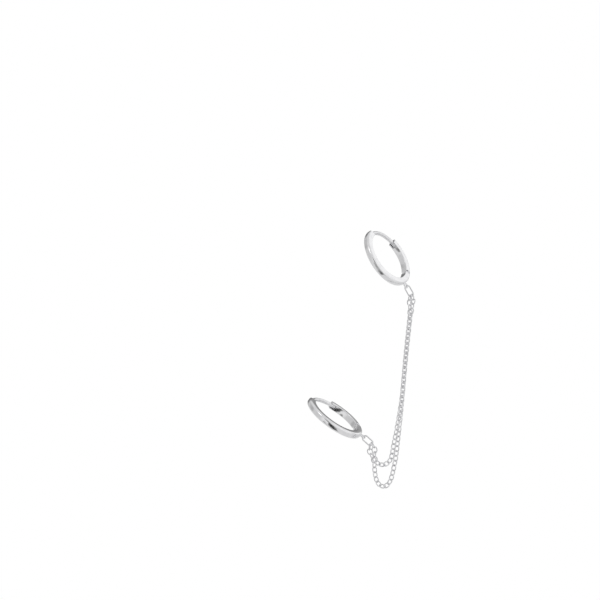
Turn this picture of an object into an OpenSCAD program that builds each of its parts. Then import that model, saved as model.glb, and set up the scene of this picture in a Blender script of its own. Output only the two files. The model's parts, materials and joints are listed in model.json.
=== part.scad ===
// An ear chain earring: a small hinged hoop for the rim of the ear and another for its lobe,
// joined by a short and a long strand of fine cable chain.
// Millimetres. Seen from the front, +X is right, +Z is up and +Y points away from the viewer.
// The origin is the middle of the upper hoop's post, where the piercing carries the earring.

/* [Hoops] */
// Outside diameter of each hoop
hoop_d = 11.6; // [9.5:0.1:14]
// Width of the band, along the axis of the hoop
band_w = 1.25; // [1.05:0.05:1.6]
// Thickness of the band, from its inner to its outer face
band_t = 1.2; // [1.1:0.05:1.5]
// Rounding of the band's outer edges
outer_round = 0.4; // [0.2:0.02:0.48]
// Rounding of the band's inner edges
inner_round = 0.1; // [0.05:0.01:0.2]
// Angle round the hoop, from the chain past the front, to the end of the fixed band
band_end_at = 176; // [165:1:190]
// Angle round the hoop to the free end of the hinged gate
gate_end_at = 250; // [235:1:265]
// Angle round the hoop to the hinge
hinge_at = 333; // [325:1:340]

/* [Posts] */
// Diameter of the post that passes through the ear
post_d = 0.7; // [0.6:0.05:0.8]
// Metal left between the post's socket and the inner face of the band
post_inset = 0.12; // [0.08:0.01:0.2]
// Clearance round the post in its socket
post_fit = 0.02; // [0.01:0.01:0.03]
// Depth of the socket in the end of the band
socket_deep = 0.9; // [0.6:0.1:1.5]
// Depth of the catch, the notch in the gate that takes the tip of the post
catch_deep = 1; // [0.7:0.1:1.5]
// Clearance round the post in the catch
catch_clear = 0.05; // [0.03:0.01:0.08]

/* [Hinges] */
// Diameter of the hinge pin
pin_d = 0.45; // [0.36:0.01:0.5]
// Clearance round the pin in the fork of the band
pin_fit = 0.02; // [0.01:0.01:0.03]
// Clearance round the pin in the knuckle of the gate
pin_clear = 0.04; // [0.02:0.01:0.06]
// Width of the gate's knuckle
knuckle_w = 0.4; // [0.3:0.02:0.5]
// Step from the gate's faces down to its knuckle
knuckle_step = 0.03; // [0.02:0.01:0.06]
// Clearance between the knuckle and each side of the fork
fork_clear = 0.05; // [0.03:0.01:0.08]
// Angle through which the gate opens
gate_open = 50; // [30:1:60]
// Clearance between the shoulders when the gate is open
turn_clear = 0.06; // [0.04:0.01:0.1]

/* [Loops and connecting links] */
// Wire of the loop soldered to each hoop
loop_wire = 0.3; // [0.26:0.02:0.36]
// Bore of that loop
loop_bore = 0.6; // [0.56:0.02:0.8]
// Depth to which the loop is sunk into the band
loop_sunk = 0.15; // [0.1:0.01:0.2]
// Wire of the oval link on each loop
oval_wire = 0.26; // [0.22:0.02:0.28]
// Inner length of the oval link
oval_len = 1.9; // [1.7:0.1:2.4]
// Inner width of the oval link
oval_w = 0.78; // [0.76:0.02:0.9]
// Gap between two links where one rests on the other
rest_gap = 0.04; // [0.02:0.01:0.06]

/* [Chain] */
// Wire of the chain's links
chain_wire = 0.21; // [0.16:0.01:0.24]
// Distance from one link to the next
chain_pitch = 0.91; // [0.86:0.01:1.1]
// Inner width of a link
link_w = 0.72; // [0.68:0.01:0.76]
// Play between two neighbouring links
link_play = 0.18; // [0.14:0.01:0.2]
// Turn of the hanging links about their strand, where 0 and 90 show a link edge-on to the viewer
link_turn = 45; // [0:5:90]
// Gap between the two strands' first links, side by side on the oval link
strand_gap = 0.18; // [0.16:0.01:0.2]

/* [How it hangs] */
// Slope of the upper hoop, below level
upper_lean = 56.5; // [45:0.5:65]
// Turn of the upper hoop's axis toward the viewer
upper_turn = 30; // [20:0.5:40]
// Slope of the lower hoop, below level
lower_lean = 35; // [25:0.5:45]
// Turn of the lower hoop's axis toward the viewer
lower_turn = 15.5; // [10:0.5:25]
// Distance across from the upper piercing to the lower one
lobe_across = 11.5; // [9:0.1:12]
// Drop from the upper piercing to the lower one
lobe_down = 30.7; // [29:0.1:32]
// Slope of the upper oval link, below level
upper_oval_lean = 61; // [50:1:66]
// Slope of the lower oval link, below level
lower_oval_lean = 42; // [36:1:52]

/* [Hidden] */

// Chosen points of each strand between its first and its last link, hung from the two oval links
SHORT_ROUTE = [
  [5.95, -2.65, -12.15], [5.85, -3.2, -13.15], [5.45, -3.25, -15.15], [5.1, -3.2, -18.2], [4.7, -3.2, -22],
  [4.3, -3.2, -26], [3.95, -3.2, -29.8], [3.45, -3.2, -33.2], [2.85, -3.2, -36.6], [2.35, -3.2, -39],
  [2.1, -3.2, -40.6], [1.65, -3.2, -41.9], [0.45, -3.2, -42.6], [-0.75, -3.2, -42.15],
  [-1.2, -3.2, -41.1], [-1.05, -3.05, -39.8]
];
LONG_ROUTE = [
  [5.3, -1.9, -12.25], [5.45, -1.95, -13.25], [5.4, -1.9, -15.15], [5.1, -1.9, -18.2], [4.7, -1.9, -22],
  [4.35, -1.9, -26], [4, -1.9, -30.2], [3.6, -1.9, -34.4], [3.2, -1.9, -38], [2.85, -1.9, -41.1],
  [2.4, -1.9, -43.4], [2.05, -1.9, -44.9], [1.5, -1.9, -46.15], [0.58, -1.9, -46.7],
  [-0.4, -1.9, -46.15], [-0.9, -1.9, -44.9], [-1.1, -1.9, -43.4], [-1.2, -1.95, -41.7], [-2, -2.15, -40.25]
];
// Curve pieces between two chosen points
ROUTE_STEPS = 8;
// Links over which a strand turns from the way the oval link faces to the way it hangs
SETTLE = 5;

// Turn of the round shapes about the pin, so that none of their seams lies in the end of a band
SEAM_TURN = 37;

// Least half width of flat metal left between two roundings
FLAT_LEFT = 0.05;
// Reach of a cut past the piece it cuts, in millimetres or in degrees round the hoop
PAST = 1;

hoop_r = hoop_d / 2;
band_r = hoop_r - band_t / 2;
inner_r = hoop_r - band_t;
edge_r = min(outer_round, band_w / 2 - FLAT_LEFT, band_t / 2 - FLAT_LEFT);
post_r = inner_r + post_inset + post_d / 2;
fork_gap = knuckle_w + 2 * fork_clear;
// Radius from the pin beyond which the open gate's shoulder passes over the band
shoulder_r = norm([band_t / 2, (band_t / 2 * (1 - cos(gate_open)) + turn_clear) / sin(gate_open)]);
loop_at = hoop_r + loop_wire - loop_sunk + loop_bore / 2;
hold_at = loop_at + (loop_bore + loop_wire) / 2;
oval_bend = (oval_w + oval_wire) / 2;
strand_side = (chain_wire + strand_gap) / 2;
link_len = chain_pitch + link_play;
// Middle of the stretch of post that shows between band and gate, in degrees
post_mid = (band_end_at + gate_end_at) / 2;

// A hoop is given by the middle of its post, the slope of its plane and the turn of its axis
UPPER = [[0, 0, 0], upper_lean, upper_turn];
LOWER = [[-lobe_across, 0, -lobe_down], lower_lean, lower_turn];

function unit(v) = v / norm(v);
function square_to(v, t) = unit(v - (v * t) * t);
// Angle along the hoop that a length of arc takes at a radius
function turn_of(length, radius) = length / radius * 180 / PI;

// The hoop's own directions: from its centre to the chain, to the front, and its axis
function to_chain(h) = [cos(h[1]), 0, -sin(h[1])];
function to_front(h) = [-sin(h[1]) * sin(h[2]), -cos(h[2]), -cos(h[1]) * sin(h[2])];
function hoop_axis(h) = cross(to_chain(h), to_front(h));
function round_hoop(h, r, a) = r * (cos(a) * to_chain(h) + sin(a) * to_front(h));
function hoop_centre(h) = h[0] - round_hoop(h, post_r, post_mid);

// The oval link: its long direction, its width, the way it faces, and its place
function oval_dir(lean) = [cos(lean), 0, -sin(lean)];
function oval_side(h, lean) = square_to(hoop_axis(h), oval_dir(lean));
function oval_face(h, lean) = cross(oval_dir(lean), oval_side(h, lean));
function oval_near(h, lean) = hoop_centre(h) + round_hoop(h, hold_at, 0)
  - oval_dir(lean) * ((loop_wire + oval_wire) / 2 + rest_gap);
function oval_mid(h, lean) = oval_near(h, lean) + oval_dir(lean) * (oval_len + oval_wire) / 2;

// Where a strand starts inside the far bend of the oval link, side is -1 or 1
function strand_start(h, lean, side) =
  let (reach = oval_w / 2 - chain_wire / 2 - rest_gap)
  oval_mid(h, lean)
  + oval_dir(lean) * ((oval_len - oval_w) / 2 + sqrt(reach * reach - strand_side * strand_side))
  + oval_side(h, lean) * side * strand_side;

// A smooth curve through the chosen points
function curve_at(p, i, t) =
  let (a = p[max(i - 1, 0)], b = p[i], c = p[i + 1], d = p[min(i + 2, len(p) - 1)])
  b + t / 2 * (c - a + t * (2 * a - 5 * b + 4 * c - d + t * (3 * b - a - 3 * c + d)));
function curve(p) = [
  for (i = [0 : len(p) - 2]) for (k = [0 : ROUTE_STEPS - 1]) curve_at(p, i, k / ROUTE_STEPS),
  p[len(p) - 1]
];
function distances(c) = [
  for (i = 0, s = 0; i < len(c); s = s + (i + 1 < len(c) ? norm(c[i + 1] - c[i]) : 0), i = i + 1) s
];
function along(c, far, s) = [
  for (axis = [0 : 2]) lookup(s, [for (i = [0 : len(c) - 1]) [far[i], c[i][axis]]])
];

// The ends of a strand's links: an even number of links, whose last one faces a quarter turn on
// The first and last point lie half a wire and half the play inside the end links
function strand(start, route, end) =
  let (
    c = curve(concat([start], route, [end])),
    far = distances(c),
    total = far[len(far) - 1],
    end_in = (chain_wire + link_play) / 2,
    count = 2 * round((total - 2 * end_in) / chain_pitch / 2),
    step = (total - 2 * end_in) / count
  )
  [for (k = [0 : count]) along(c, far, end_in + step * k)];
function share(k) = max(0, 1 - k / SETTLE);
function hanging(t) = cos(link_turn) * [0, 1, 0] + sin(link_turn) * cross(t, [0, 1, 0]);
function facing(k, count, t) =
  let (
    a = share(k),
    b = share(count - 1 - k),
    first = oval_face(UPPER, upper_oval_lean),
    last = cross(t, oval_face(LOWER, lower_oval_lean))
  )
  a * first + b * last + (1 - a - b) * hanging(t);

module frame_at(p, x, y, z) {
  multmatrix([[x[0], y[0], z[0], p[0]], [x[1], y[1], z[1], p[1]], [x[2], y[2], z[2], p[2]]]) children();
}

module on_hoop(h) {
  translate(hoop_centre(h)) rotate([0, h[1], 0]) rotate([180 + h[2], 0, 0]) children();
}

module at_pin() {
  rotate([0, 0, hinge_at]) translate([band_r, 0, 0]) rotate([0, 0, SEAM_TURN]) children();
}

// Turns a section round the hoop, from one angle to another
module bend(from, to) {
  rotate([0, 0, from]) rotate_extrude(angle = to - from, $fn = 96) children();
}

// The band's section: a flat inner face and well rounded outer edges
module band_section() {
  translate([inner_r + inner_round, -band_w / 2]) square([band_t - inner_round - edge_r, band_w]);
  translate([inner_r, inner_round - band_w / 2]) square([band_t - edge_r, band_w - 2 * inner_round]);
  translate([hoop_r - edge_r, edge_r - band_w / 2]) square([edge_r, band_w - 2 * edge_r]);
  for (side = [-1, 1]) {
    translate([hoop_r - edge_r, side * (band_w / 2 - edge_r)]) circle(edge_r, $fn = 32);
    translate([inner_r + inner_round, side * (band_w / 2 - inner_round)]) circle(inner_round, $fn = 24);
  }
}

// A rounded disc as thick as the band is wide, which ends the band round the hinge pin
module fork_end() {
  rotate_extrude($fn = 48) intersection() {
    translate([0, -band_w / 2]) square([band_t / 2, band_w]);
    union() {
      translate([0, -band_w / 2]) square([band_t / 2 - edge_r, band_w]);
      translate([0, edge_r - band_w / 2]) square([band_t / 2, band_w - 2 * edge_r]);
      for (side = [-1, 1]) {
        translate([band_t / 2 - edge_r, side * (band_w / 2 - edge_r)]) circle(edge_r, $fn = 32);
      }
    }
  }
}

module post_arc(from, to, grow) {
  bend(from, to) translate([post_r, 0]) circle(d = post_d + 2 * grow, $fn = 32);
}

module hoop_band() {
  difference() {
    union() {
      bend(hinge_at - 360, band_end_at) band_section();
      at_pin() fork_end();
      translate([loop_at, 0, 0]) {
        rotate_extrude($fn = 48) translate([(loop_bore + loop_wire) / 2, 0]) circle(d = loop_wire, $fn = 24);
      }
    }
    at_pin() cylinder(r = shoulder_r, h = fork_gap, center = true, $fn = 64);
    at_pin() cylinder(d = pin_d + 2 * pin_fit, h = 2 * band_w, center = true, $fn = 48);
    post_arc(band_end_at - turn_of(socket_deep, post_r), band_end_at + PAST, post_fit);
  }
}

module gate() {
  difference() {
    union() {
      difference() {
        bend(gate_end_at, hinge_at) band_section();
        for (side = [-1, 1]) {
          translate([0, 0, side * (knuckle_w + band_w) / 2]) at_pin() {
            cylinder(r = shoulder_r, h = band_w, center = true, $fn = 64);
          }
        }
      }
      at_pin() cylinder(d = band_t - 2 * knuckle_step, h = knuckle_w, center = true, $fn = 64);
    }
    at_pin() cylinder(d = pin_d + 2 * pin_clear, h = 2 * band_w, center = true, $fn = 48);
    catch();
  }
}

// The notch for the post's tip, open at the end and at the inner face of the gate
module catch() {
  notch_w = post_d + 2 * catch_clear;
  bend(gate_end_at - PAST, gate_end_at + turn_of(catch_deep, post_r)) {
    translate([post_r, 0]) circle(d = notch_w, $fn = 32);
    translate([inner_r - PAST, -notch_w / 2]) square([post_r - inner_r + PAST, notch_w]);
  }
}

module hinge_pin() {
  at_pin() cylinder(d = pin_d, h = band_w, center = true, $fn = 48);
}

module post() {
  post_arc(
    band_end_at - turn_of(socket_deep - post_fit, post_r),
    gate_end_at + turn_of(catch_deep - 2 * catch_clear, post_r), 0
  );
}

// A long round-ended link in the XY plane, its length along X
module link(inner_len, inner_w, wire) {
  bend_r = (inner_w + wire) / 2;
  straight = inner_len - inner_w;
  for (end = [0, 180]) rotate([0, 0, end]) {
    translate([straight / 2, 0, 0]) rotate([0, 0, -90]) {
      rotate_extrude(angle = 180, $fn = 32) translate([bend_r, 0]) circle(d = wire, $fn = 16);
    }
    translate([0, bend_r, 0]) rotate([0, 90, 0]) cylinder(d = wire, h = straight, center = true, $fn = 16);
  }
}

module oval(h, lean) {
  frame_at(oval_mid(h, lean), oval_dir(lean), oval_side(h, lean), oval_face(h, lean)) {
    link(oval_len, oval_w, oval_wire);
  }
}

module chain(joints) {
  count = len(joints) - 1;
  for (k = [0 : count - 1]) {
    t = unit(joints[k + 1] - joints[k]);
    face = square_to(facing(k, count, t), t);
    across = cross(face, t);
    middle = (joints[k] + joints[k + 1]) / 2;
    if (k % 2 == 0) frame_at(middle, t, face, -across) link(link_len, link_w, chain_wire);
    else frame_at(middle, t, across, face) link(link_len, link_w, chain_wire);
  }
}

module upper_hoop() { color("silver") on_hoop(UPPER) hoop_band(); }
module upper_gate() { color("lightgray") on_hoop(UPPER) gate(); }
module upper_hinge_pin() { color("gainsboro") on_hoop(UPPER) hinge_pin(); }
module upper_post() { color("gainsboro") on_hoop(UPPER) post(); }
module upper_link() { color("silver") oval(UPPER, upper_oval_lean); }
module lower_hoop() { color("silver") on_hoop(LOWER) hoop_band(); }
module lower_gate() { color("lightgray") on_hoop(LOWER) gate(); }
module lower_hinge_pin() { color("gainsboro") on_hoop(LOWER) hinge_pin(); }
module lower_post() { color("gainsboro") on_hoop(LOWER) post(); }
module lower_link() { color("silver") oval(LOWER, lower_oval_lean); }
module chain_short() {
  color("silver") chain(strand(
    strand_start(UPPER, upper_oval_lean, -1), SHORT_ROUTE, strand_start(LOWER, lower_oval_lean, -1)
  ));
}
module chain_long() {
  color("silver") chain(strand(
    strand_start(UPPER, upper_oval_lean, 1), LONG_ROUTE, strand_start(LOWER, lower_oval_lean, 1)
  ));
}

upper_hoop();
upper_gate();
upper_hinge_pin();
upper_post();
upper_link();
lower_hoop();
lower_gate();
lower_hinge_pin();
lower_post();
lower_link();
chain_short();
chain_long();
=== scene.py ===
# %% [markdown]
# # An ear chain earring in polished silver
# The earring is two small hinged hoops, an upper and a lower one, and two strands of fine cable
# chain that hang between them. Everything is bright metal, so nearly all of its look comes from
# clean curves and from what they mirror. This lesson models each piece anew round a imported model
# that gives every size and place, and then builds a small white studio.

import json
import math

import bmesh
import bpy
from mathutils import Matrix, Vector


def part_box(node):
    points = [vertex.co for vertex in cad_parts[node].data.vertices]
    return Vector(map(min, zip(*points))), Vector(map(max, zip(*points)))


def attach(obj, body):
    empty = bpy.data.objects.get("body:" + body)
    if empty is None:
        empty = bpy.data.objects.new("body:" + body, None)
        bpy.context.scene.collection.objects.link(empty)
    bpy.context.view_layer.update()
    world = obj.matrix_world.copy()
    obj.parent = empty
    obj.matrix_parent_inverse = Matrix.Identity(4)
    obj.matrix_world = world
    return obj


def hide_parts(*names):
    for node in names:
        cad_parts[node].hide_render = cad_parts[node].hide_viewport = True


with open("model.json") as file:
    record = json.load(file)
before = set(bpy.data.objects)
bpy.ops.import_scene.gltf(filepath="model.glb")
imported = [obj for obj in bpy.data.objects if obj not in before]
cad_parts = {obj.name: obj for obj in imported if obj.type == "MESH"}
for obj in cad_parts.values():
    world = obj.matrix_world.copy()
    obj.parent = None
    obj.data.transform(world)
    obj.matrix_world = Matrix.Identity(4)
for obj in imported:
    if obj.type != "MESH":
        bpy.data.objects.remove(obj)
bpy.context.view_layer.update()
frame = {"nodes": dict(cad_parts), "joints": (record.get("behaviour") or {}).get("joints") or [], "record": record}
record = frame["record"]
print("pieces to dress:", sorted(frame["nodes"]))

# %% [markdown]
# ## The camera
# The photo looks level at the earring from the front, with a long lens that hardly shows
# perspective. A camera half a metre away with a 162 mm lens gives the same calm view. One pixel is
# then 0.185 mm at the earring, which sits right of the middle, as in the photo.

# %% Place the camera
MM = 0.001
VIEW_MIDDLE = (-14.86 * MM, -12.21 * MM)
CAMERA_AWAY = 500 * MM
LENS = 162
FILM_W = 36
CLIP_NEAR = 10 * MM
CLIP_FAR = 60

lens = bpy.data.cameras.new("camera")
lens.lens = LENS
lens.sensor_width = FILM_W
lens.clip_start = CLIP_NEAR
lens.clip_end = CLIP_FAR
camera = bpy.data.objects.new("camera", lens)
camera.location = (VIEW_MIDDLE[0], -CAMERA_AWAY, VIEW_MIDDLE[1])
camera.rotation_euler = (math.pi / 2, 0, 0)
bpy.context.scene.collection.objects.link(camera)
bpy.context.scene.camera = camera
print("camera at", tuple(round(v, 4) for v in camera.location))

# %% [markdown]
# ## Where the hoops are
# Each hoop leans and turns in its own way, so modelling it where it hangs would be hard. It is far
# easier to model a hoop flat, round the origin and in millimetres, and to place the finished mesh
# once. The record gives the middle of each post with the way it runs, and the hinge with its axis.
# Those two directions and one radius are enough to find the hoop's centre and plane.

# %% Find the plane of each hoop
HOOP_D = 11.6
BAND_W = 1.25
BAND_T = 1.2
BAND_END_AT = 176
GATE_END_AT = 250
HINGE_AT = 333
POST_D = 0.7
POST_INSET = 0.12

hoop_r = HOOP_D / 2
band_r = hoop_r - BAND_T / 2
inner_r = hoop_r - BAND_T
post_r = inner_r + POST_INSET + POST_D / 2
post_mid = math.radians((BAND_END_AT + GATE_END_AT) / 2)


def hoop_place(side):
    """The matrix that carries a flat hoop in millimetres to where it hangs, in metres."""
    mount = next(m for m in record["mounts"] if m["name"] == side + "_piercing")
    hinge = next(j for j in frame["joints"] if j["name"] == side + "_gate_hinge")
    axis = Vector(hinge["axis"]).normalized()
    along = Vector(mount["axis"]).normalized()
    outward = along.cross(axis).normalized()
    to_chain = math.cos(post_mid) * outward - math.sin(post_mid) * along
    to_front = axis.cross(to_chain)
    centre = Vector(mount["pos_m"]) - outward * post_r * MM
    turn = Matrix((to_chain, to_front, axis)).transposed().to_4x4()
    return Matrix.Translation(centre) @ turn @ Matrix.Scale(MM, 4)


PLACES = {side: hoop_place(side) for side in ("upper", "lower")}
for side, place in PLACES.items():
    hinge = next(j for j in frame["joints"] if j["name"] == side + "_gate_hinge")
    at = math.radians(HINGE_AT)
    found = place @ Vector((band_r * math.cos(at), band_r * math.sin(at), 0))
    print(side, "hinge is off by", round((found - Vector(hinge["pos_m"])).length / MM, 4), "mm")

# %% [markdown]
# ## Silver that is polished by hand
# A perfect mirror looks like a computer's metal. Real polished silver is a little uneven: the
# buffing wheel leaves soft waves, the finest scratches break up the highlights, and the tone
# shifts slightly where hands and polish have been. The waves and scratches are bump, the haze is
# roughness, and the tone is a mix of two near silvers. All patterns read Object coordinates, which
# a Mapping node turns into millimetres, so a scratch has a real size.

# %% Make a metal
# A grain is a noise's scale to the millimetre and its detail, and for scratches also its squeeze
TONE_GRAIN = (1.4, 3)
HAZE_GRAIN = (9, 5)
WAVE_GRAIN = (0.9, 1)
SCRATCH_GRAIN = (6, 4, (1, 9, 2.5))
TONE_FROM = 0.35
TONE_TO = 0.6


def metal(name, bright, shaded, haze, wave, scratch):
    """A polished metal with two tones, a range of haze, soft waves and fine scratches."""
    material = bpy.data.materials.new(name)
    material.use_nodes = True
    nodes = material.node_tree.nodes
    link = material.node_tree.links.new
    shader = nodes["Principled BSDF"]
    shader.inputs["Metallic"].default_value = 1
    where = nodes.new("ShaderNodeTexCoord")
    scale = nodes.new("ShaderNodeMapping")
    scale.inputs["Scale"].default_value = (1 / MM, 1 / MM, 1 / MM)
    link(where.outputs["Object"], scale.inputs["Vector"])

    def noise(size, detail, squeeze=(1, 1, 1)):
        pull = nodes.new("ShaderNodeMapping")
        pull.inputs["Scale"].default_value = squeeze
        link(scale.outputs["Vector"], pull.inputs["Vector"])
        made = nodes.new("ShaderNodeTexNoise")
        made.inputs["Scale"].default_value = size
        made.inputs["Detail"].default_value = detail
        link(pull.outputs["Vector"], made.inputs["Vector"])
        return made.outputs["Fac"]

    tone = nodes.new("ShaderNodeValToRGB")
    tone.color_ramp.elements[0].position = TONE_FROM
    tone.color_ramp.elements[0].color = (*shaded, 1)
    tone.color_ramp.elements[1].position = TONE_TO
    tone.color_ramp.elements[1].color = (*bright, 1)
    link(noise(*TONE_GRAIN), tone.inputs["Fac"])
    link(tone.outputs["Color"], shader.inputs["Base Color"])

    gloss = nodes.new("ShaderNodeMapRange")
    gloss.inputs["To Min"].default_value = haze[0]
    gloss.inputs["To Max"].default_value = haze[1]
    link(noise(*HAZE_GRAIN), gloss.inputs["Value"])
    link(gloss.outputs["Result"], shader.inputs["Roughness"])

    soft = nodes.new("ShaderNodeBump")
    soft.inputs["Strength"].default_value = 1
    soft.inputs["Distance"].default_value = wave * MM
    link(noise(*WAVE_GRAIN), soft.inputs["Height"])
    fine = nodes.new("ShaderNodeBump")
    fine.inputs["Strength"].default_value = 1
    fine.inputs["Distance"].default_value = scratch * MM
    link(noise(*SCRATCH_GRAIN), fine.inputs["Height"])
    link(soft.outputs["Normal"], fine.inputs["Normal"])
    link(fine.outputs["Normal"], shader.inputs["Normal"])
    return material


print("deepest squeeze of a scratch:", max(SCRATCH_GRAIN[2]), "to 1")

# %% [markdown]
# ## Four finishes
# The bands are buffed to a mirror. The pins are drawn wire that was only polished where it ends, so
# they are duller. The posts, the oval links and the chain are wire too, tumbled until it shines. Their
# tones are set darker than the bands', as painted shade.

# %% Make the four finishes
# Each holds the bright and the shaded tone, the least and most haze, and the depth of the waves and
# of the scratches in millimetres
FINISHES = {
    "polished_silver": ((0.95, 0.95, 0.96), (0.89, 0.89, 0.905), (0.05, 0.13), 0.006, 0.0006),
    "silver_pin": ((0.86, 0.86, 0.87), (0.74, 0.74, 0.76), (0.12, 0.24), 0.002, 0.0009),
    # The wire's and the chain's darker tones are painted shade
    "silver_wire": ((0.90, 0.90, 0.91), (0.76, 0.76, 0.78), (0.08, 0.18), 0.004, 0.0006),
    "silver_chain": ((0.90, 0.90, 0.91), (0.75, 0.75, 0.77), (0.1, 0.22), 0.003, 0.0006),
}
METALS = {name: metal(name, *finish) for name, finish in FINISHES.items()}
print("metals:", ", ".join(METALS))

# %% [markdown]
# ## From a bmesh to a piece
# Every piece ends the same way. Its doubles are merged, its faces are turned to point outwards, and
# its mesh is carried to its place, while the object itself stays at the origin. Faces are smooth,
# edges sharper than 32 degrees stay crisp, and weighted normals keep the flat faces flat beside
# their roundings. Then the piece gets its metal and the body it rides on, and its node is hidden.

# %% Finish a piece
WELD = 0.0005
CRISP = math.radians(32)


def to_object(bm, name):
    """A bare object from a bmesh, still in its own millimetres."""
    bmesh.ops.remove_doubles(bm, verts=bm.verts[:], dist=WELD)
    bmesh.ops.recalc_face_normals(bm, faces=bm.faces[:])
    mesh = bpy.data.meshes.new(name)
    bm.to_mesh(mesh)
    bm.free()
    made = bpy.data.objects.new(name, mesh)
    bpy.context.scene.collection.objects.link(made)
    return made


def finish_piece(piece, place, slot, body, node):
    """Places the mesh, gives it its metal and hides the node that it takes the place of."""
    piece.data.transform(place)
    piece.data.materials.clear()
    piece.data.materials.append(METALS[slot])
    piece.data.shade_smooth()
    piece.data.set_sharp_from_angle(angle=CRISP)
    even = piece.modifiers.new("even_shading", "WEIGHTED_NORMAL")
    even.keep_sharp = True
    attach(piece, body)
    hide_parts(node)
    low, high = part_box(node)
    corners = [v.co for v in piece.data.vertices]
    off = max(
        abs(edge(c[i] for c in corners) - side[i])
        for i in range(3) for edge, side in ((min, low), (max, high))
    )
    print(piece.name, len(piece.data.polygons), "faces, box off by", round(off / MM, 3), "mm")


print("corners nearer than", WELD, "mm are merged")

# %% [markdown]
# ## Joining and cutting
# A soldered loop grows out of the band, and a hinge is sawn into it. A Boolean modifier does both
# as the goldsmith does: it joins one closed solid to another or takes one from the other. It is
# applied at once, so the piece is left as one plain mesh.

# %% Join or cut with a second solid
def apply_boolean(piece, other, how):
    """Joins other to the piece, or cuts it out of it, and removes other."""
    step = piece.modifiers.new("step", "BOOLEAN")
    step.operation = how
    step.solver = "EXACT"
    step.object = other
    view = bpy.context.evaluated_depsgraph_get()
    made = bpy.data.meshes.new_from_object(piece.evaluated_get(view))
    piece.modifiers.clear()
    piece.data = made
    print(how.lower(), "of", piece.name, "and", other.name, "leaves", len(made.polygons), "faces")
    bpy.data.objects.remove(other)


# %% [markdown]
# ## The band's section
# The band is a square wire with well rounded outer edges and a nearly sharp inner face. Its section
# could be drawn point by point, but one flat rectangle whose corners are bevelled, two widely and
# two barely, keeps every size a plain number.

# %% Draw the section
OUTER_ROUND = 0.4
OUTER_STEPS = 10
INNER_ROUND = 0.1
INNER_STEPS = 4


def flat_rectangle(long, wide):
    """A bmesh with one flat face, its length along X."""
    bm = bmesh.new()
    bmesh.ops.create_grid(bm, x_segments=1, y_segments=1, size=0.5)
    bmesh.ops.scale(bm, verts=bm.verts[:], vec=(long, wide, 1))
    return bm


def round_corners(bm, corners, radius, steps):
    """Rounds the given corners of a flat face."""
    bmesh.ops.bevel(
        bm, geom=corners, offset=radius, offset_type="OFFSET", segments=steps,
        profile=0.5, affect="VERTICES", material=-1,
    )


def band_section():
    """The band's outline as one flat face, its outer side towards X."""
    bm = flat_rectangle(BAND_T, BAND_W)
    outer = [v for v in bm.verts if v.co.x > 0]
    inner = [v for v in bm.verts if v.co.x < 0]
    round_corners(bm, outer, OUTER_ROUND, OUTER_STEPS)
    round_corners(bm, inner, INNER_ROUND, INNER_STEPS)
    return bm


print("the outer roundings leave a flat of", round(BAND_W - 2 * OUTER_ROUND, 3), "mm between them")

# %% [markdown]
# ## The band
# The outline is stood up at its radius. Spinning it round the middle gives the band, and filling
# both ends closes it. The ends stay as they are sawn, so that they meet the post and the hinge
# closely. The post is swept in the same way later, from a circle.

# %% Sweep the band
STEP = math.radians(2.5)


def stand_up(bm, at):
    """Turns a flat outline up out of the hoop's plane and moves it out to a radius."""
    upright = Matrix.Rotation(math.pi / 2, 3, "X")
    bmesh.ops.rotate(bm, verts=bm.verts[:], cent=(0, 0, 0), matrix=upright)
    bmesh.ops.translate(bm, verts=bm.verts[:], vec=(at, 0, 0))


def sweep(bm, start, end):
    """Spins the outline round the hoop from one angle to another and closes both ends."""
    bmesh.ops.delete(bm, geom=bm.faces[:], context="FACES_ONLY")
    turn = Matrix.Rotation(math.radians(start), 3, "Z")
    bmesh.ops.rotate(bm, verts=bm.verts[:], cent=(0, 0, 0), matrix=turn)
    angle = math.radians(end - start)
    bmesh.ops.spin(
        bm, geom=bm.verts[:] + bm.edges[:], cent=(0, 0, 0), axis=(0, 0, 1),
        angle=angle, steps=round(angle / STEP), use_merge=False,
    )
    return bmesh.ops.holes_fill(bm, edges=bm.edges[:], sides=0)["faces"]


def band(name, start, end):
    """A stretch of the band between two angles round the hoop."""
    bm = band_section()
    stand_up(bm, band_r)
    sweep(bm, start, end)
    return to_object(bm, name)


print("a step round the band is", round(band_r * STEP, 3), "mm long")

# %% [markdown]
# ## The hinge
# At the hinge the band ends in a rounded disc. A slot is sawn into its middle, which leaves a fork,
# and the gate's knuckle fills the slot. A pin goes through all of it. The disc, the slot and the
# bore are all round about the pin, so each is a cylinder: a cone shape with two equal radii. The
# slot's radius comes from how far the gate opens, so that its shoulders clear the band.

# %% Hinge parts
PIN_D = 0.45
PIN_FIT = 0.02
PIN_CLEAR = 0.04
KNUCKLE_W = 0.4
KNUCKLE_STEP = 0.03
FORK_CLEAR = 0.05
GATE_OPEN = math.radians(50)
TURN_CLEAR = 0.06
PIN_SIDES = 64
DISC_STEPS = 8
LEVEL_ENOUGH = 0.9

rise = (BAND_T / 2 * (1 - math.cos(GATE_OPEN)) + TURN_CLEAR) / math.sin(GATE_OPEN)
shoulder_r = math.hypot(BAND_T / 2, rise)
fork_gap = KNUCKLE_W + 2 * FORK_CLEAR


def soften(bm, faces, width, steps):
    """Bevels the rim of each of the faces."""
    rim = list({e for f in faces for e in f.edges})
    bmesh.ops.bevel(
        bm, geom=rim, offset=width, offset_type="OFFSET", segments=steps,
        profile=0.5, affect="EDGES", material=-1, clamp_overlap=False,
    )


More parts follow.
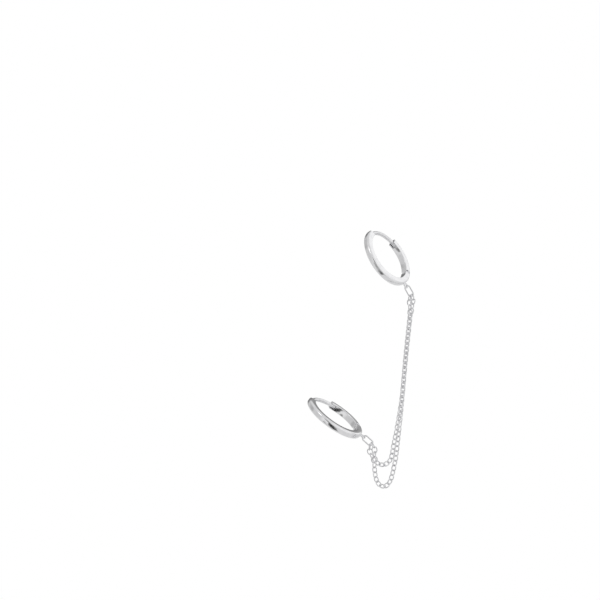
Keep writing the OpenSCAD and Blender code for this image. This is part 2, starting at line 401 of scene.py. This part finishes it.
def at_pin(name, radius, depth, up=0, rounding=0, steps=DISC_STEPS):
    """A cylinder round about the hinge pin, lifted by up, with its rims rounded if asked."""
    bm = bmesh.new()
    bmesh.ops.create_cone(
        bm, cap_ends=True, segments=PIN_SIDES, radius1=radius, radius2=radius, depth=depth,
    )
    if rounding:
        soften(bm, [f for f in bm.faces if abs(f.normal.z) > LEVEL_ENOUGH], rounding, steps)
    bmesh.ops.translate(bm, verts=bm.verts[:], vec=(band_r, 0, up))
    turn = Matrix.Rotation(math.radians(HINGE_AT), 3, "Z")
    bmesh.ops.rotate(bm, verts=bm.verts[:], cent=(0, 0, 0), matrix=turn)
    return to_object(bm, name)


print("the slot of the fork reaches", round(shoulder_r, 3), "mm from the pin")

# %% [markdown]
# ## Post and loop
# A round bar bent along the hoop is the post, and a slightly thicker one is the cutter for its
# socket in the band. The chain's loop is a ring of wire, soldered on: a circle spun all the way
# round and merged with itself.

# %% Bend a bar and a loop
LOOP_WIRE = 0.3
LOOP_BORE = 0.6
LOOP_SUNK = 0.15
LOOP_SIDES = 20
LOOP_STEPS = 56
POST_SIDES = 32
TIP_STEPS = 4

loop_at = hoop_r + LOOP_WIRE - LOOP_SUNK + LOOP_BORE / 2


def degrees_of(length):
    """The angle that a length takes along the post's own circle."""
    return math.degrees(length / post_r)


def post_arc(name, start, end, radius, tip=0):
    """A round bar bent along the hoop, with rounded tips if asked."""
    bm = bmesh.new()
    bmesh.ops.create_circle(bm, cap_ends=False, segments=POST_SIDES, radius=radius)
    stand_up(bm, post_r)
    caps = sweep(bm, start, end)
    if tip:
        soften(bm, caps, tip, TIP_STEPS)
    return to_object(bm, name)


def soldered_loop(name):
    """The ring of wire on the hoop, in the hoop's own plane."""
    bm = bmesh.new()
    bmesh.ops.create_circle(bm, cap_ends=False, segments=LOOP_SIDES, radius=LOOP_WIRE / 2)
    stand_up(bm, (LOOP_BORE + LOOP_WIRE) / 2)
    bmesh.ops.spin(
        bm, geom=bm.verts[:] + bm.edges[:], cent=(0, 0, 0), axis=(0, 0, 1),
        angle=2 * math.pi, steps=LOOP_STEPS, use_merge=True,
    )
    bmesh.ops.translate(bm, verts=bm.verts[:], vec=(loop_at, 0, 0))
    return to_object(bm, name)


print("the loop's middle is", round(loop_at, 3), "mm from the hoop's")

# %% [markdown]
# ## The hoops
# Each hoop is the fixed band, the disc of its fork, and the soldered loop, all in one. The slot and
# the bore for the pin are cut at the hinge, and the socket for the post at the other end. Cutting
# comes last, as at the bench, so that no later join closes a cut again.

# %% Build both hoops
# A cutter reaches PAST what it cuts, in degrees along the hoop and in millimetres across it
POST_FIT = 0.02
SOCKET_DEEP = 0.9
PAST = 1
FULL_TURN = 360

for side, place in PLACES.items():
    hoop = band(side + "_hoop_polished", HINGE_AT - FULL_TURN, BAND_END_AT)
    apply_boolean(hoop, at_pin("disc", BAND_T / 2, BAND_W, rounding=OUTER_ROUND), "UNION")
    apply_boolean(hoop, soldered_loop("loop"), "UNION")
    apply_boolean(hoop, at_pin("slot", shoulder_r, fork_gap), "DIFFERENCE")
    apply_boolean(hoop, at_pin("bore", PIN_D / 2 + PIN_FIT, 2 * BAND_W), "DIFFERENCE")
    socket_from = BAND_END_AT - degrees_of(SOCKET_DEEP)
    socket = post_arc("socket", socket_from, BAND_END_AT + PAST, POST_D / 2 + POST_FIT)
    apply_boolean(hoop, socket, "DIFFERENCE")
    finish_piece(hoop, place, "polished_silver", "earring", side + "_hoop")

# %% [markdown]
# ## The gates
# The gate closes the back of the hoop. It is a shorter stretch of the same band. Its hinge end is
# cut back at both sides to leave room for the fork, and the knuckle is added between the cuts. At
# the free end a notch lets the tip of the post click in. Its cutter is a slot with a round bottom,
# swept along the hoop as the band is.

# %% Build both gates
CATCH_DEEP = 1.0
CATCH_CLEAR = 0.05
NOTCH_STEPS = 12


def notch(name):
    """The catch's cutter: a slot with a round bottom, open towards the hoop's middle."""
    width = POST_D + 2 * CATCH_CLEAR
    bottom = post_r + width / 2
    mouth = inner_r - PAST
    bm = flat_rectangle(bottom - mouth, width)
    round_corners(bm, [v for v in bm.verts if v.co.x > 0], width / 2 - WELD, NOTCH_STEPS)
    stand_up(bm, (bottom + mouth) / 2)
    sweep(bm, GATE_END_AT - PAST, GATE_END_AT + degrees_of(CATCH_DEEP))
    return to_object(bm, name)


for side, place in PLACES.items():
    gate = band(side + "_gate_polished", GATE_END_AT, HINGE_AT)
    for face in (-1, 1):
        shoulder = at_pin("shoulder", shoulder_r, BAND_W, up=face * (KNUCKLE_W + BAND_W) / 2)
        apply_boolean(gate, shoulder, "DIFFERENCE")
    apply_boolean(gate, at_pin("knuckle", BAND_T / 2 - KNUCKLE_STEP, KNUCKLE_W), "UNION")
    apply_boolean(gate, at_pin("bore", PIN_D / 2 + PIN_CLEAR, 2 * BAND_W), "DIFFERENCE")
    apply_boolean(gate, notch("notch"), "DIFFERENCE")
    finish_piece(gate, place, "polished_silver", side + "_gate_body", side + "_gate")

# %% [markdown]
# ## Pins and posts
# The pin is a short wire cut flush and burnished, so its rims are just broken. The post is the part
# that goes through a piercing. It keeps the hoop's curve, and its tips are rounded so that they slip
# in without a scratch.

# %% Build pins and posts
PIN_RIM = 0.04
RIM_STEPS = 3
POST_TIP = 0.14

for side, place in PLACES.items():
    pin = at_pin(side + "_pin_burnished", PIN_D / 2, BAND_W, rounding=PIN_RIM, steps=RIM_STEPS)
    finish_piece(pin, place, "silver_pin", "earring", side + "_hinge_pin")
    post_from = BAND_END_AT - degrees_of(SOCKET_DEEP - POST_FIT)
    post_to = GATE_END_AT + degrees_of(CATCH_DEEP - 2 * CATCH_CLEAR)
    post = post_arc(side + "_post_rounded", post_from, post_to, POST_D / 2, tip=POST_TIP)
    finish_piece(post, place, "silver_wire", "earring", side + "_post")

# %% [markdown]
# ## One link
# Oval links and chain links are the same thing in two sizes: a wire with two straight sides and two
# round ends. The wire's circle is spun half round one end, extruded along the straight side, spun
# half round the other end, and bridged back to its start. That closes the link with no seam.

# %% Wind a link
def half_turn(bm, rim, centre, steps):
    """Spins a ring of edges half round an upright axis and returns the new last ring."""
    verts = list({v for e in rim for v in e.verts})
    made = bmesh.ops.spin(
        bm, geom=verts + rim, cent=centre, axis=(0, 0, 1), angle=math.pi, steps=steps, use_merge=False,
    )
    return [g for g in made["geom_last"] if isinstance(g, bmesh.types.BMEdge)]


def wind_link(inner_len, inner_w, wire, sides, steps):
    """A link in the XY plane, its length along X, as a bmesh."""
    bend_r = (inner_w + wire) / 2
    straight = inner_len - inner_w
    bm = bmesh.new()
    bmesh.ops.create_circle(bm, cap_ends=False, segments=sides, radius=wire / 2)
    upright = Matrix.Rotation(math.pi / 2, 3, "Y")
    bmesh.ops.rotate(bm, verts=bm.verts[:], cent=(0, 0, 0), matrix=upright)
    bmesh.ops.translate(bm, verts=bm.verts[:], vec=(straight / 2, -bend_r, 0))
    first = bm.edges[:]
    bent = half_turn(bm, first, (straight / 2, 0, 0), steps)
    grown = bmesh.ops.extrude_edge_only(bm, edges=bent)["geom"]
    run = [g for g in grown if isinstance(g, bmesh.types.BMVert)]
    bmesh.ops.translate(bm, verts=run, vec=(-straight, 0, 0))
    rim = [g for g in grown if isinstance(g, bmesh.types.BMEdge) and set(g.verts) <= set(run)]
    last = half_turn(bm, rim, (-straight / 2, 0, 0), steps)
    bmesh.ops.bridge_loops(bm, edges=first + last)
    return bm


# %% [markdown]
# ## The oval links
# One oval link hangs on each soldered loop and carries both strands. It rests in the loop with a
# hair of air, and its direction follows the pull of the chains. Its own three directions are worked
# out from the hoop's axis and its slope.

# %% Hang the oval links
OVAL_WIRE = 0.26
OVAL_LEN = 1.9
OVAL_W = 0.78
OVAL_SIDES = 18
OVAL_STEPS = 22
OVAL_LEAN = {"upper": math.radians(61), "lower": math.radians(42)}
REST_GAP = 0.04

hold_at = loop_at + (LOOP_BORE + LOOP_WIRE) / 2


def square_to(vector, direction):
    """The part of a vector that is square to a direction, one unit long."""
    return (vector - vector.dot(direction) * direction).normalized()


def oval_frame(side):
    """The oval link's direction, width, facing and middle, in millimetres."""
    place = PLACES[side]
    lean = OVAL_LEAN[side]
    run = Vector((math.cos(lean), 0, -math.sin(lean)))
    across = square_to(place.to_3x3() @ Vector((0, 0, 1)), run)
    near = (place @ Vector((hold_at, 0, 0))) / MM - run * ((LOOP_WIRE + OVAL_WIRE) / 2 + REST_GAP)
    return run, across, run.cross(across), near + run * (OVAL_LEN + OVAL_WIRE) / 2


def frame_matrix(x, y, z, middle):
    """The matrix that gives a piece its three directions and its middle."""
    return Matrix.Translation(middle) @ Matrix((x, y, z)).transposed().to_4x4()


OVALS = {side: oval_frame(side) for side in PLACES}
for side, (run, across, face, middle) in OVALS.items():
    bm = wind_link(OVAL_LEN, OVAL_W, OVAL_WIRE, OVAL_SIDES, OVAL_STEPS)
    oval = to_object(bm, side + "_link_wire")
    place = Matrix.Scale(MM, 4) @ frame_matrix(run, across, face, middle)
    finish_piece(oval, place, "silver_wire", "earring", side + "_link")

# %% [markdown]
# ## The route of each strand
# A hanging chain finds its own curve, and these few points are that curve as the photo shows it:
# both strands fall nearly side by side, then turn up in two separate bends to the lower hoop. A
# smooth curve runs through the points, and the links are laid along it at an even pitch.

# %% Choose the points and draw the curve through them
SHORT_ROUTE = [
    (5.95, -2.65, -12.15), (5.85, -3.2, -13.15), (5.45, -3.25, -15.15), (5.1, -3.2, -18.2),
    (4.7, -3.2, -22), (4.3, -3.2, -26), (3.95, -3.2, -29.8), (3.45, -3.2, -33.2),
    (2.85, -3.2, -36.6), (2.35, -3.2, -39), (2.1, -3.2, -40.6), (1.65, -3.2, -41.9),
    (0.45, -3.2, -42.6), (-0.75, -3.2, -42.15), (-1.2, -3.2, -41.1), (-1.05, -3.05, -39.8),
]
LONG_ROUTE = [
    (5.3, -1.9, -12.25), (5.45, -1.95, -13.25), (5.4, -1.9, -15.15), (5.1, -1.9, -18.2),
    (4.7, -1.9, -22), (4.35, -1.9, -26), (4, -1.9, -30.2), (3.6, -1.9, -34.4), (3.2, -1.9, -38),
    (2.85, -1.9, -41.1), (2.4, -1.9, -43.4), (2.05, -1.9, -44.9), (1.5, -1.9, -46.15),
    (0.58, -1.9, -46.7), (-0.4, -1.9, -46.15), (-0.9, -1.9, -44.9), (-1.1, -1.9, -43.4),
    (-1.2, -1.95, -41.7), (-2, -2.15, -40.25),
]
ROUTE_STEPS = 8


def curve(points):
    """A smooth line through the points, with a few pieces between each two."""
    made = []
    for i in range(len(points) - 1):
        a = points[max(i - 1, 0)]
        b = points[i]
        c = points[i + 1]
        d = points[min(i + 2, len(points) - 1)]
        for k in range(ROUTE_STEPS):
            t = k / ROUTE_STEPS
            inner = 2 * a - 5 * b + 4 * c - d + t * (3 * b - a - 3 * c + d)
            made.append(b + t / 2 * (c - a + t * inner))
    return made + [points[-1]]


def at_distances(line, wanted):
    """The points that lie at the wanted distances along the line."""
    made = []
    gone = 0
    i = 0
    for far in wanted:
        while i < len(line) - 2 and gone + (line[i + 1] - line[i]).length < far:
            gone += (line[i + 1] - line[i]).length
            i += 1
        share = (far - gone) / (line[i + 1] - line[i]).length
        made.append(line[i].lerp(line[i + 1], share))
    return made


print("chosen points:", len(SHORT_ROUTE), "and", len(LONG_ROUTE))

# %% [markdown]
# ## Where each link lies
# A strand starts inside the far bend of the oval link, beside the other strand. From there its links
# hand over to one another at even distances along the curve. Their number is even, so that the last
# one faces a quarter turn on from the first, as the lower oval link needs it.

# %% Divide a strand into links
CHAIN_WIRE = 0.21
CHAIN_PITCH = 0.91
LINK_W = 0.72
LINK_PLAY = 0.18
STRAND_GAP = 0.18

strand_side = (CHAIN_WIRE + STRAND_GAP) / 2
end_in = (CHAIN_WIRE + LINK_PLAY) / 2


def strand_start(side, which):
    """Where a strand starts inside the oval link: which is -1 or 1, its side of the link."""
    run, across, face, middle = OVALS[side]
    reach = OVAL_W / 2 - CHAIN_WIRE / 2 - REST_GAP
    down = (OVAL_LEN - OVAL_W) / 2 + math.sqrt(reach ** 2 - strand_side ** 2)
    return middle + run * down + across * which * strand_side


def link_ends(which, route):
    """The points where one link hands over to the next, in millimetres, and their distance."""
    chosen = [strand_start("upper", which), *map(Vector, route), strand_start("lower", which)]
    line = curve(chosen)
    total = sum((b - a).length for a, b in zip(line, line[1:]))
    count = 2 * round((total - 2 * end_in) / CHAIN_PITCH / 2)
    step = (total - 2 * end_in) / count
    return at_distances(line, [end_in + step * k for k in range(count + 1)]), step


print("the strands start", round(2 * strand_side, 3), "mm apart")

# %% [markdown]
# ## The strands
# In a chain that hangs, each link pulls on the next: their wires touch. So the links here are as
# long inside as their pitch, less a trace, and each strand is one fused piece. Each link stands
# square to the next. A free strand settles with its links at 45 degrees to the viewer, so that all
# look equally wide, and near each end they turn until they lie square to the oval link.

# %% Lay the links
LINK_TURN = math.radians(45)
SETTLE = 5
TOUCH = 0.01
END_REACH = 0.045
LINK_SIDES = 12
LINK_STEPS = 14


def link_facing(k, count, run):
    """The way that link k of a strand faces, before it is set square to its run."""
    first = max(0, 1 - k / SETTLE)
    last = max(0, 1 - (count - 1 - k) / SETTLE)
    away = Vector((0, 1, 0))
    hanging = math.cos(LINK_TURN) * away + math.sin(LINK_TURN) * run.cross(away)
    at_upper = OVALS["upper"][2]
    at_lower = run.cross(OVALS["lower"][2])
    return first * at_upper + last * at_lower + (1 - first - last) * hanging


def add_link(bm, matrix, inner_len):
    """Winds one link and adds it to the strand at its place."""
    one = wind_link(inner_len, LINK_W, CHAIN_WIRE, LINK_SIDES, LINK_STEPS)
    bmesh.ops.transform(one, matrix=matrix, verts=one.verts[:])
    loose = bpy.data.meshes.new("one_link")
    one.to_mesh(loose)
    one.free()
    bm.from_mesh(loose)
    bpy.data.meshes.remove(loose)


def strand(name, which, route):
    """One strand of chain as a single mesh of links that rest in each other."""
    ends, step = link_ends(which, route)
    count = len(ends) - 1
    bm = bmesh.new()
    for k in range(count):
        run = (ends[k + 1] - ends[k]).normalized()
        face = square_to(link_facing(k, count, run), run)
        across = face.cross(run)
        middle = (ends[k] + ends[k + 1]) / 2
        longer = 0
        if k in (0, count - 1):
            longer = END_REACH
            middle = middle + run * (longer / 2 if k else -longer / 2)
        turned = (run, face, -across) if k % 2 == 0 else (run, across, face)
        add_link(bm, frame_matrix(*turned, middle), step - TOUCH + longer)
    print(name, "has", count, "links at a pitch of", round(step, 3), "mm")
    return to_object(bm, name)


for name, which, route in (("chain_short", -1, SHORT_ROUTE), ("chain_long", 1, LONG_ROUTE)):
    piece = strand(name + "_strand", which, route)
    finish_piece(piece, Matrix.Scale(MM, 4), "silver_chain", "earring", name)

# %% [markdown]
# ## A white tent
# Silver shows its surroundings more than itself. In the photo nearly all of them are bright, and a
# few dark ones draw the streaks on the hoops. So the world here is a white tent in which some
# places are darker or brighter. A painted picture of a studio could do the same, but places that
# are given one by one are easy to move until each streak sits right. Small dark places in a row
# draw the streak of the lower hoop and the thin line of the upper one, and broad ones shade the
# rest. A place has an azimuth, counted from the camera to the right, an elevation, an inner and an
# outer radius, all in degrees, and a factor on the tent's level.

# %% Choose the tent's places
TENT_LEVEL = 0.70
LOWER_STREAK = [
    (-15, 9, 5, 15, 0.12),
    (-17, -9, 5, 13, 0.2),
    (-18, -24, 4, 11, 0.15),
    (-13, -35, 5, 12, 0.12),
    (-6, -46, 5, 13, 0.16),
    (1, -55, 4, 12, 0.35),
]
UPPER_STREAK = [
    (-34, -60, 3, 10, 0.18),
    (-42, -51, 2, 8, 0.4),
    (-43, -40, 2, 8, 0.6),
    (-44, -30, 3, 9, 0.42),
    (-45, -20, 4, 10, 0.36),
]
BROAD_SHADES = [
    (-176, 19, 18, 38, 0.28),
    (-104, 17, 4, 16, 0.85),
    (-116, 30, 8, 30, 0.76),
    (-80, 5, 12, 40, 0.88),
]
BROAD_GLOWS = [
    (-38, -8, 8, 22, 1.12),
    (128, 30, 12, 34, 1.32),
    (60, 12, 15, 48, 1.25),
]
TENT_PLACES = LOWER_STREAK + UPPER_STREAK + BROAD_SHADES + BROAD_GLOWS
print("places in the tent:", len(TENT_PLACES))

# %% [markdown]
# ## Lighting the tent
# Each place is a soft-edged round spot: the dot product of where a ray looks and where the place
# lies falls from 1 as they part, and a smooth step between two such values makes the edge. All the
# spots are multiplied. The camera itself sees plain white instead, as in the photo.

# %% Light the tent
scene = bpy.context.scene
scene.view_settings.view_transform = "Standard"
world = bpy.data.worlds.new("white_tent")
scene.world = world
world.use_nodes = True
nodes = world.node_tree.nodes
link = world.node_tree.links.new
nodes.clear()
looking = nodes.new("ShaderNodeTexCoord")


def spot(azimuth, elevation, inner, outer, factor):
    """A value that is the factor at a place in the tent and 1 away from it."""
    turn = Matrix.Rotation(math.radians(azimuth), 3, "Z")
    tilt = Matrix.Rotation(-math.radians(elevation), 3, "X")
    near = nodes.new("ShaderNodeVectorMath")
    near.operation = "DOT_PRODUCT"
    near.inputs[1].default_value = turn @ tilt @ Vector((0, -1, 0))
    link(looking.outputs["Generated"], near.inputs[0])
    edge = nodes.new("ShaderNodeMapRange")
    edge.interpolation_type = "SMOOTHSTEP"
    edge.inputs["From Min"].default_value = math.cos(math.radians(outer))
    edge.inputs["From Max"].default_value = math.cos(math.radians(inner))
    edge.inputs["To Min"].default_value = 1
    edge.inputs["To Max"].default_value = factor
    link(near.outputs["Value"], edge.inputs["Value"])
    return edge.outputs["Result"]


level = None
for place in TENT_PLACES:
    times = nodes.new("ShaderNodeMath")
    times.operation = "MULTIPLY"
    times.inputs[0].default_value = TENT_LEVEL
    if level:
        link(level, times.inputs[0])
    link(spot(*place), times.inputs[1])
    level = times.outputs["Value"]

tent = nodes.new("ShaderNodeBackground")
link(level, tent.inputs["Color"])
plain = nodes.new("ShaderNodeBackground")
plain.inputs["Color"].default_value = (1, 1, 1, 1)
seen = nodes.new("ShaderNodeLightPath")
choose = nodes.new("ShaderNodeMixShader")
out = nodes.new("ShaderNodeOutputWorld")
link(seen.outputs["Is Camera Ray"], choose.inputs["Fac"])
link(tent.outputs["Background"], choose.inputs[1])
link(plain.outputs["Background"], choose.inputs[2])
link(choose.outputs["Shader"], out.inputs["Surface"])
print("nodes in the tent:", len(nodes))

# %% [markdown]
# ## The floor
# The earring hangs, so the floor lies well below it. A wide disc is enough for it. The metal doesn't
# mirror the disc: there it sees the tent's lower half instead.

# %% Lay the floor
FLOOR_DOWN = 300 * MM
FLOOR_R = 8000 * MM
FLOOR_SIDES = 96

bm = bmesh.new()
bmesh.ops.create_circle(bm, cap_ends=True, segments=FLOOR_SIDES, radius=FLOOR_R)
bmesh.ops.translate(bm, verts=bm.verts[:], vec=(0, 0, -FLOOR_DOWN))
mesh = bpy.data.meshes.new("pale_floor")
bm.to_mesh(mesh)
bm.free()
floor = bpy.data.objects.new("pale_floor", mesh)
floor.visible_glossy = False
scene.collection.objects.link(floor)
print("floor", FLOOR_DOWN / MM, "mm below the upper post")

# %% [markdown]
# ## The floor's paint
# The floor is pale and matt near the middle, and it glows to the tent's white further out, so that
# no horizon line cuts the picture. A single matt white would turn grey where the light thins out.

# %% Paint the floor
PALE = (0.93, 0.93, 0.93, 1)
MATT_TO = 350 * MM
GLOW_FROM = 2200 * MM

paint = bpy.data.materials.new("pale_floor")
paint.use_nodes = True
nodes = paint.node_tree.nodes
link = paint.node_tree.links.new
nodes.clear()
where = nodes.new("ShaderNodeTexCoord")
away = nodes.new("ShaderNodeVectorMath")
away.operation = "LENGTH"
link(where.outputs["Object"], away.inputs[0])
fade = nodes.new("ShaderNodeMapRange")
fade.interpolation_type = "SMOOTHSTEP"
fade.inputs["From Min"].default_value = MATT_TO
fade.inputs["From Max"].default_value = GLOW_FROM
link(away.outputs["Value"], fade.inputs["Value"])
matt = nodes.new("ShaderNodeBsdfDiffuse")
matt.inputs["Color"].default_value = PALE
glow = nodes.new("ShaderNodeEmission")
blend = nodes.new("ShaderNodeMixShader")
out = nodes.new("ShaderNodeOutputMaterial")
link(fade.outputs["Result"], blend.inputs["Fac"])
link(matt.outputs["BSDF"], blend.inputs[1])
link(glow.outputs["Emission"], blend.inputs[2])
link(blend.outputs["Shader"], out.inputs["Surface"])
floor.data.materials.append(paint)
print("the floor is matt to", MATT_TO / MM, "mm and glows from", GLOW_FROM / MM, "mm")

# %% [markdown]
# ## A soft box
# One large soft light from the upper left gently lifts the edges that face it, as in the photo. A
# disc has no corners to show in the metal.

# %% Hang the soft box
BOX_PLACE = (-550 * MM, -750 * MM, 850 * MM)
BOX_AIM = (0, 0, -24 * MM)
BOX_SIZE = 500 * MM
BOX_POWER = 0.6

box = bpy.data.lights.new("soft_box", "AREA")
box.shape = "DISK"
box.size = BOX_SIZE
box.energy = BOX_POWER
lamp = bpy.data.objects.new("soft_box", box)
lamp.location = BOX_PLACE
lamp.rotation_euler = (Vector(BOX_AIM) - lamp.location).to_track_quat("-Z", "Y").to_euler()
scene.collection.objects.link(lamp)
print("soft box at", tuple(round(v, 3) for v in lamp.location))
